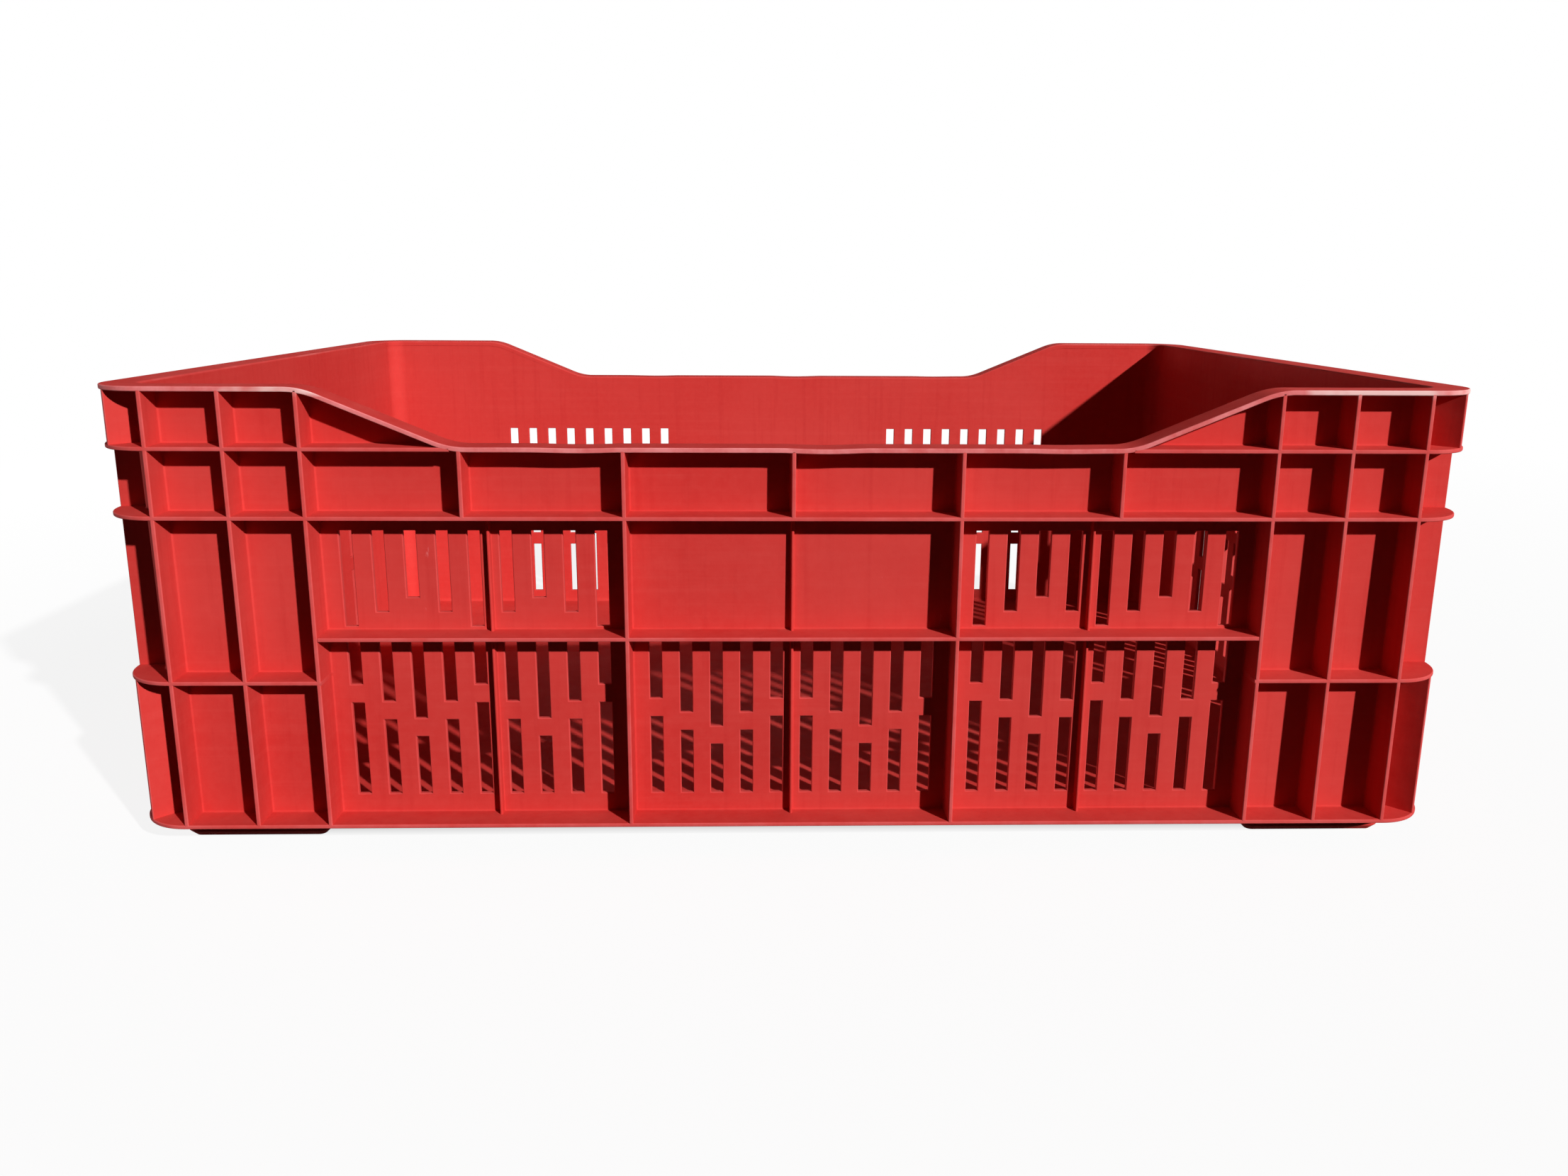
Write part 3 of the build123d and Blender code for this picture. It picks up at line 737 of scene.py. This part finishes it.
def side_wall():
    """Back wall: a leaning slotted sheet, with the cove along the floor."""
    skin = Skin()
    slots = openings_of("back_wall", 0)
    points, quads, wear_and_highlight = slotted_sheet([-CORNER_X, CORNER_X], [BASE[0], LEDGE[0]], slots)
    skin.add(on_back(points), quads, wear_and_highlight)
    cove(skin, run_side(-CORNER_X, CORNER_X))
    return skin


def end_wall():
    """Right end wall up to the belt: a leaning slotted sheet, with the cove along the floor."""
    skin = Skin()
    slots = openings_of("right_end_wall", 1)
    points, quads, wear_and_highlight = slotted_sheet([-CORNER_Y, CORNER_Y], [BASE[0], BELT[1]], slots)
    skin.add(on_right(points), quads, wear_and_highlight)
    cove(skin, run_end(-CORNER_Y, CORNER_Y))
    return skin


def grip_wall():
    """Right end wall above the belt: a leaning sheet round the hand hole."""
    skin = Skin()
    points = corners_of("right_grip_wall")
    along, up = np.abs(points[:, 1]), points[:, 2]
    inside = points[(along < CORNER_Y - NEAR) & (up > BELT[1] + NEAR) & (up < RIM[0] - NEAR)]
    low, high = inside.min(axis=0), inside.max(axis=0)
    straight = np.abs(inside[inside[:, 2] > high[2] - NEAR, 1]).max()
    hole = (low[1], high[1], low[2], high[2])
    grid, wear_and_highlight = holed_sheet([-CORNER_Y, CORNER_Y], [BELT[1], RIM[0]], hole, high[1] - straight)
    skin.add_tube(on_right(grid.reshape(-1, 3)).reshape(grid.shape), wear_and_highlight, ring=True)
    return skin


def wall_section(low, high):
    """Leaning section of the plain wall between two heights: rows (outward from the rib tips, up)."""
    return np.array([
        [-inset(low), low], [-inset(high), high], [-inset(high) - WALL, high], [-inset(low) - WALL, low],
    ])


def corner_wall():
    """Rounded corner: the leaning wall section carried round it, with the cove along the floor."""
    skin = Skin()
    skin.add_tube(carried(run_corner(), wall_section(BASE[0], RIM[0])), 0.0)
    cove(skin, run_corner())
    return skin


def shoulder():
    """Raised wall beside a corner: the leaning wall section, its top following the rim's slope."""
    x = slope_stations()
    top = np.minimum(LEDGE[0] + rim_rise(x) + sizes().edge_radius, RIM[0] + sizes().edge_radius)
    low = np.full_like(x, LEDGE[0])
    heights = np.stack([low, top, top, low], axis=1)
    depth = np.stack([inset(low), inset(top), inset(top) + WALL, inset(low) + WALL], axis=1)
    along = np.broadcast_to(x[:, None], heights.shape)
    skin = Skin()
    skin.add_tube(np.stack([along, SIDE - depth, heights], axis=2), 0.0)
    return skin


def low_rim():
    """Rim of the dip: the rim section carried along the side, sagging a little in places."""
    reach = SLOPE_FOOT - sizes().slope_bend
    x = np.linspace(-reach, reach, DIP_POINTS)
    wave = np.sqrt(np.cos(x / reach * np.pi / 2))
    for pace, start in DIP_WAVES:
        wave = wave * np.sin(x * pace + start)
    sag = sizes().rim_waviness * np.maximum(wave, 0.0)
    section, wear_and_highlight = rim_section(LEDGE)
    skin = Skin()
    skin.add_tube(carried(run_side(*x), section, -sag), wear_and_highlight)
    return skin


def corner_rim():
    """Raised rim: the rim section carried up the slope, along the shoulder and round the corner.

    The section's last two points, which close it inside the wall, go with the lower end of the fillet."""
    x = slope_stations()
    lift = np.concatenate([rim_rise(x), np.full(CORNER_STEPS, DIP)])
    section, wear_and_highlight = rim_section(LEDGE)
    section[-2:, 1] += BURY - sizes().fillet_radius
    skin = Skin()
    skin.add_tube(carried(joined(run_side(*x), run_corner()), section, lift), wear_and_highlight)
    return skin


def grip_rim():
    """End rim: the rim section carried along the end, and the ledge over the hand hole."""
    skin = Skin()
    section, wear_and_highlight = rim_section(RIM)
    skin.add_tube(carried(run_end(CORNER_Y, -CORNER_Y), section), wear_and_highlight)
    level_rib(skin, run_end(CORNER_Y, -CORNER_Y), LEDGE)
    return skin


def corner_hoops():
    """Level ribs round a corner, along the side, the arc and the end, and the corner's upright ribs."""
    skin = Skin()
    level_rib(skin, joined(run_side(SLOPE_FOOT, CORNER_X), run_corner()), LEDGE)
    level_rib(skin, run_corner(), BELT)
    column = joined(run_side(COLUMN_FACE_X, CORNER_X), run_corner(), run_end(CORNER_Y, COLUMN_FACE_Y))
    level_rib(skin, column, COLUMN_RIB)
    level_rib(skin, run_corner(), BASE, low_root=False)
    for bay in (SIDE_BAYS[0], SIDE_BAYS[-1]):
        upright(skin, run_corner(CORNER_RIB_DEGREES, CORNER_RIB_DEGREES, steps=0), bay, RIB)
    return skin


def lone_rib(node, run, heights, low_root=True):
    """Level rib along a run of the wall, as long as its CAD node."""
    skin = Skin()
    level_rib(skin, run(*stations_along(node, run)[[0, -1]]), heights, low_root)
    return skin


def finish_solid(node, radius):
    """Keep a CAD node's shape, round its edges and give it the plastic."""
    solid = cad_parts[node]
    weld = solid.modifiers.new("Join corners", "WELD")
    weld.merge_threshold = NEAR
    bevel = solid.modifiers.new("Round edges", "BEVEL")
    bevel.width = radius
    bevel.segments = BEVEL_STEPS
    bevel.limit_method = "ANGLE"
    bevel.angle_limit = radians(BEVEL_DEGREES)
    solid.data.materials.clear()
    solid.data.materials.append(moulded_plastic())


# Stage

WHITE = (1.0, 1.0, 1.0, 1.0)
# Radii of the floor's rings, points on each and its height, in metres
FLOOR_RINGS = (0.0005, 1.0, 6.0, 40.0)
FLOOR_STEPS = 64
FLOOR_HEIGHT = -0.0001
# Distances from the middle between which the floor turns white
WHITENING = (0.5, 1.6)
# Distances inside the crate's outline between which the painted shade on the floor under it turns to pale
UNDERSIDE_SHADE = (0.045, 0.02)
# Place and power in watts of each low light, and their width and height
LOW_LIGHTS = {"back_light": ((-0.3, 1.4, 0.1), 12.0), "left_light": ((-1.5, 0.25, 0.1), 8.0)}
LOW_LIGHT_SIZE = (1.2, 0.1)
TOWARDS_LIGHT = (0.84, -1.0, 0.665)
CAMERA_PLACE = (-0.01633, -0.69655, 0.25559)
CAMERA_PITCH, CAMERA_YAW, CAMERA_ROLL = radians(12.61), radians(1.41), radians(-0.33)
# Width and height of the picture, and the camera's focal length and level of its axis, in pixels
PICTURE_WIDTH, PICTURE_HEIGHT = 2212, 1659
FOCAL_PIXELS, CENTRE_ROW = 1654.91, 768.76
SENSOR_WIDTH = 36.0
NEAREST_SEEN = 0.01


def seen_directly(tree):
    """One for rays that show the surface itself: from the camera, in a gloss or through a clear body."""
    path = add_node(tree, "ShaderNodeLightPath").outputs
    first = add_node(tree, "ShaderNodeMath", {
        0: path["Is Camera Ray"], 1: path["Is Glossy Ray"]}, operation="MAXIMUM").outputs[0]
    return add_node(tree, "ShaderNodeMath", {
        0: first, 1: path["Is Transmission Ray"]}, operation="MAXIMUM").outputs[0]


def pale_floor(scene):
    """Round floor of rings of points, painted dark as shade below the crate and growing white towards its
    far edge.
    """
    stage = scene.crate_stage
    radius = np.array(FLOOR_RINGS)
    angle = np.linspace(0.0, 2 * np.pi, FLOOR_STEPS + 1)[:-1]
    plan = radius[:, None, None] * np.stack([np.cos(angle), np.sin(angle)], axis=1)[None]
    height = np.full(plan.shape[:2] + (1,), FLOOR_HEIGHT)
    points = np.concatenate([plan, height], axis=2).reshape(-1, 3)
    number = np.arange(len(points)).reshape(len(radius), len(angle))
    onward = np.roll(number, -1, 1)
    quads = np.stack([number[:-1], number[1:], onward[1:], onward[:-1]], axis=2)
    mesh = bpy.data.meshes.new("pale_floor")
    mesh.from_pydata(points, [], quads.reshape(-1, 4).tolist() + [number[0].tolist()])
    floor = bpy.data.objects.new("pale_floor", mesh)
    scene.collection.objects.link(floor)
    material = bpy.data.materials.new("pale_floor_paint")
    material.use_nodes = True
    tree = material.node_tree
    tree.nodes.clear()
    place = add_node(tree, "ShaderNodeTexCoord").outputs["Object"]
    away = add_node(tree, "ShaderNodeVectorMath", {0: place}, operation="LENGTH").outputs["Value"]
    whiteness = ranged(tree, away, *WHITENING, stage.floor_white, 1.0)
    paper = add_node(tree, "ShaderNodeBsdfDiffuse", {"Color": WHITE})
    white = add_node(tree, "ShaderNodeEmission", {"Color": WHITE, "Strength": 1.0})
    lifted = add_node(tree, "ShaderNodeMixShader", {
        0: whiteness, 1: paper.outputs[0], 2: white.outputs[0]})
    beyond = add_node(tree, "ShaderNodeVectorMath", {0: place}, operation="ABSOLUTE").outputs["Vector"]
    beyond = add_node(tree, "ShaderNodeVectorMath", {
        0: beyond, 1: (END, SIDE, 0.0)}, operation="SUBTRACT").outputs["Vector"]
    beyond = add_node(tree, "ShaderNodeSeparateXYZ", {"Vector": beyond})
    beyond = add_node(tree, "ShaderNodeMath", {
        0: beyond.outputs["X"], 1: beyond.outputs["Y"]}, operation="MAXIMUM").outputs[0]
    # Painted shade: under the crate the floor shows its dark colour instead of being lifted to white
    open_floor = ranged(tree, beyond, -UNDERSIDE_SHADE[0], -UNDERSIDE_SHADE[1])
    matt = add_node(tree, "ShaderNodeBsdfDiffuse", {"Color": (*stage.floor_colour, 1.0)})
    mixed = add_node(tree, "ShaderNodeMixShader", {
        0: times(tree, open_floor, seen_directly(tree)), 1: matt.outputs[0], 2: lifted.outputs[0]})
    output = add_node(tree, "ShaderNodeOutputMaterial")
    tree.links.new(mixed.outputs[0], output.inputs["Surface"])
    mesh.materials.append(material)


def surrounding_light(scene):
    """World that fills the shadows evenly and is plain white where it is seen."""
    world = bpy.data.worlds.new("surrounding_light")
    world.use_nodes = True
    tree = world.node_tree
    tree.nodes.clear()
    fill = add_node(tree, "ShaderNodeBackground", {"Color": WHITE, "Strength": scene.crate_stage.fill})
    white = add_node(tree, "ShaderNodeBackground", {"Color": WHITE, "Strength": 1.0})
    mixed = add_node(tree, "ShaderNodeMixShader", {
        0: seen_directly(tree), 1: fill.outputs[0], 2: white.outputs[0]})
    output = add_node(tree, "ShaderNodeOutputWorld")
    tree.links.new(mixed.outputs[0], output.inputs["Surface"])
    scene.world = world


def key_light(scene):
    """Key light from the front right, above the crate."""
    lamp = bpy.data.lights.new("key_light", "SUN")
    lamp.energy = scene.crate_stage.sun_strength
    lamp.angle = scene.crate_stage.sun_angle
    holder = bpy.data.objects.new("key_light", lamp)
    holder.rotation_euler = Vector(TOWARDS_LIGHT).to_track_quat("Z", "Y").to_euler()
    scene.collection.objects.link(holder)


def low_lights(scene):
    """Wide soft lights low behind the crate and on its left, for faces that the key light leaves dark."""
    for name, (place, power) in LOW_LIGHTS.items():
        lamp = bpy.data.lights.new(name, "AREA")
        lamp.shape = "RECTANGLE"
        lamp.size, lamp.size_y = LOW_LIGHT_SIZE
        lamp.energy = power * scene.crate_stage.low_strength
        holder = bpy.data.objects.new(name, lamp)
        holder.location = place
        holder.rotation_euler = Vector((place[0], place[1], 0.0)).to_track_quat("Z", "Y").to_euler()
        holder.visible_camera = False
        scene.collection.objects.link(holder)


def camera(scene):
    """Camera at the photograph's viewing angle, with its focal length and the shift of its framing."""
    lens = bpy.data.cameras.new("camera")
    lens.sensor_width = SENSOR_WIDTH
    lens.lens = lens.sensor_width * FOCAL_PIXELS / PICTURE_WIDTH
    lens.shift_y = -(PICTURE_HEIGHT / 2 - CENTRE_ROW) / PICTURE_WIDTH
    lens.clip_start = NEAREST_SEEN
    ahead = Vector((
        sin(CAMERA_YAW) * cos(CAMERA_PITCH), cos(CAMERA_YAW) * cos(CAMERA_PITCH), -sin(CAMERA_PITCH)))
    right = Vector((cos(CAMERA_YAW), -sin(CAMERA_YAW), 0.0))
    down = ahead.cross(right)
    right, down = (
        right * cos(CAMERA_ROLL) + down * sin(CAMERA_ROLL),
        down * cos(CAMERA_ROLL) - right * sin(CAMERA_ROLL),
    )
    turn = Matrix((right, -down, -ahead)).transposed().to_4x4()
    holder = bpy.data.objects.new("camera", lens)
    holder.matrix_world = Matrix.Translation(CAMERA_PLACE) @ turn
    scene.collection.objects.link(holder)
    scene.camera = holder


# Steps that the panel offers

class CRATE_OT_long_walls(bpy.types.Operator):
    """Skin the slotted front and back walls"""

    bl_idname = "crate.long_walls"
    bl_label = "Long walls"

    def execute(self, context):
        sweep(SIDES, "wall", side_wall)
        return {"FINISHED"}


class CRATE_OT_end_walls(bpy.types.Operator):
    """Skin the slotted ends and the walls round the hand holes"""

    bl_idname = "crate.end_walls"
    bl_label = "End walls"

    def execute(self, context):
        sweep(ENDS, "end_wall", end_wall)
        sweep(ENDS, "grip_wall", grip_wall)
        return {"FINISHED"}


class CRATE_OT_corner_walls(bpy.types.Operator):
    """Skin the rounded corners and the shoulders beside them"""

    bl_idname = "crate.corner_walls"
    bl_label = "Corners and shoulders"

    def execute(self, context):
        sweep(CORNERS, "corner_wall", corner_wall)
        sweep(CORNERS, "shoulder", shoulder)
        return {"FINISHED"}


class CRATE_OT_rims(bpy.types.Operator):
    """Skin the dipped and raised rims"""

    bl_idname = "crate.rims"
    bl_label = "Rims"

    def execute(self, context):
        sweep(SIDES, "low_rim", low_rim)
        sweep(CORNERS, "corner_rim", corner_rim)
        sweep(ENDS, "grip_rim", grip_rim)
        return {"FINISHED"}


class CRATE_OT_level_ribs(bpy.types.Operator):
    """Skin the belts, middle ribs, base flanges and corner hoops"""

    bl_idname = "crate.level_ribs"
    bl_label = "Level ribs"

    def execute(self, context):
        walls = ((SIDES, "", "back", run_side), (ENDS, "end_", "right_end", run_end))
        for turns, prefix, node, run in walls:
            sweep(turns, f"{prefix}belt", lambda: lone_rib(f"{node}_belt", run, BELT))
            sweep(turns, f"{prefix}mid_rib", lambda: lone_rib(f"{node}_mid_rib", run, MID_RIB))
            flange = f"{node}_base_flange"
            sweep(turns, f"{prefix}base_flange", lambda: lone_rib(flange, run, BASE, low_root=False))
        sweep(CORNERS, "corner_hoops", corner_hoops)
        return {"FINISHED"}


class CRATE_OT_upright_ribs(bpy.types.Operator):
    """Skin the column ribs, posts, stiffeners and half ribs"""

    bl_idname = "crate.upright_ribs"
    bl_label = "Upright ribs"

    def execute(self, context):
        end_bays = [*POST_BAYS, SIDE_BAYS[-1]]
        half_bays = stations("back_half_ribs", 2).reshape(-1, 2)
        behind = SIDE - stations("back_half_ribs", 1)[-1]
        for name, run in (("side_column_ribs", run_side), ("end_column_ribs", run_end)):
            sweep(CORNERS, name, lambda: uprights(f"back_right_{name}", run, SIDE_BAYS))
        sweep(SIDES, "posts", lambda: uprights("back_posts", run_side, POST_BAYS))
        sweep(ENDS, "end_posts", lambda: uprights("right_end_posts", run_end, end_bays))
        sweep(SIDES, "stiffeners", lambda: uprights("back_stiffeners", run_side, POST_BAYS[-1:]))
        sweep(SIDES, "half_ribs", lambda: uprights("back_half_ribs", run_side, half_bays, behind))
        return {"FINISHED"}


class CRATE_OT_floor_and_feet(bpy.types.Operator):
    """Round the edges of the floor and the feet and give them the plastic"""

    bl_idname = "crate.floor_and_feet"
    bl_label = "Floor and feet"

    def execute(self, context):
        finish_solid("floor", context.scene.crate_sizes.floor_edge)
        for corner in CORNERS:
            finish_solid(f"{corner}_foot", context.scene.crate_sizes.foot_edge)
        return {"FINISHED"}


class CRATE_OT_stage(bpy.types.Operator):
    """Set up the pale floor, the light and the camera"""

    bl_idname = "crate.stage"
    bl_label = "Floor, light and camera"

    def execute(self, context):
        scene = context.scene
        scene.view_settings.view_transform = "Standard"
        pale_floor(scene)
        surrounding_light(scene)
        key_light(scene)
        low_lights(scene)
        camera(scene)
        return {"FINISHED"}


# Add-on

OPERATORS = (
    CRATE_OT_long_walls,
    CRATE_OT_end_walls,
    CRATE_OT_corner_walls,
    CRATE_OT_rims,
    CRATE_OT_level_ribs,
    CRATE_OT_upright_ribs,
    CRATE_OT_floor_and_feet,
    CRATE_OT_stage,
)
GROUPS = {"crate_sizes": CrateSizes, "crate_finish": CrateFinish, "crate_stage": CrateStage}


class CRATE_PT_pieces(bpy.types.Panel):
    """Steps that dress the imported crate, and what they go by"""

    bl_label = "Fruit crate"
    bl_idname = "CRATE_PT_pieces"
    bl_space_type = "VIEW_3D"
    bl_region_type = "UI"
    bl_category = "Fruit crate"

    def draw(self, context):
        for operator in OPERATORS:
            self.layout.operator(operator.bl_idname)
        for name, group in GROUPS.items():
            box = self.layout.box()
            for value in group.__annotations__:
                box.prop(getattr(context.scene, name), value)


def register():
    """Add the classes and the scene's groups of values."""
    for cls in (*GROUPS.values(), *OPERATORS, CRATE_PT_pieces):
        bpy.utils.register_class(cls)
    for name, group in GROUPS.items():
        setattr(bpy.types.Scene, name, PointerProperty(type=group))


def unregister():
    """Take the scene's groups of values and the classes away again."""
    for name in GROUPS:
        delattr(bpy.types.Scene, name)
    for cls in (CRATE_PT_pieces, *reversed(OPERATORS), *GROUPS.values()):
        bpy.utils.unregister_class(cls)


def main():
    """Dress the crate and set the stage."""
    register()
    bpy.ops.crate.long_walls()
    bpy.ops.crate.end_walls()
    bpy.ops.crate.corner_walls()
    bpy.ops.crate.rims()
    bpy.ops.crate.level_ribs()
    bpy.ops.crate.upright_ribs()
    bpy.ops.crate.floor_and_feet()
    bpy.ops.crate.stage()


if __name__ == "__main__":
    main()
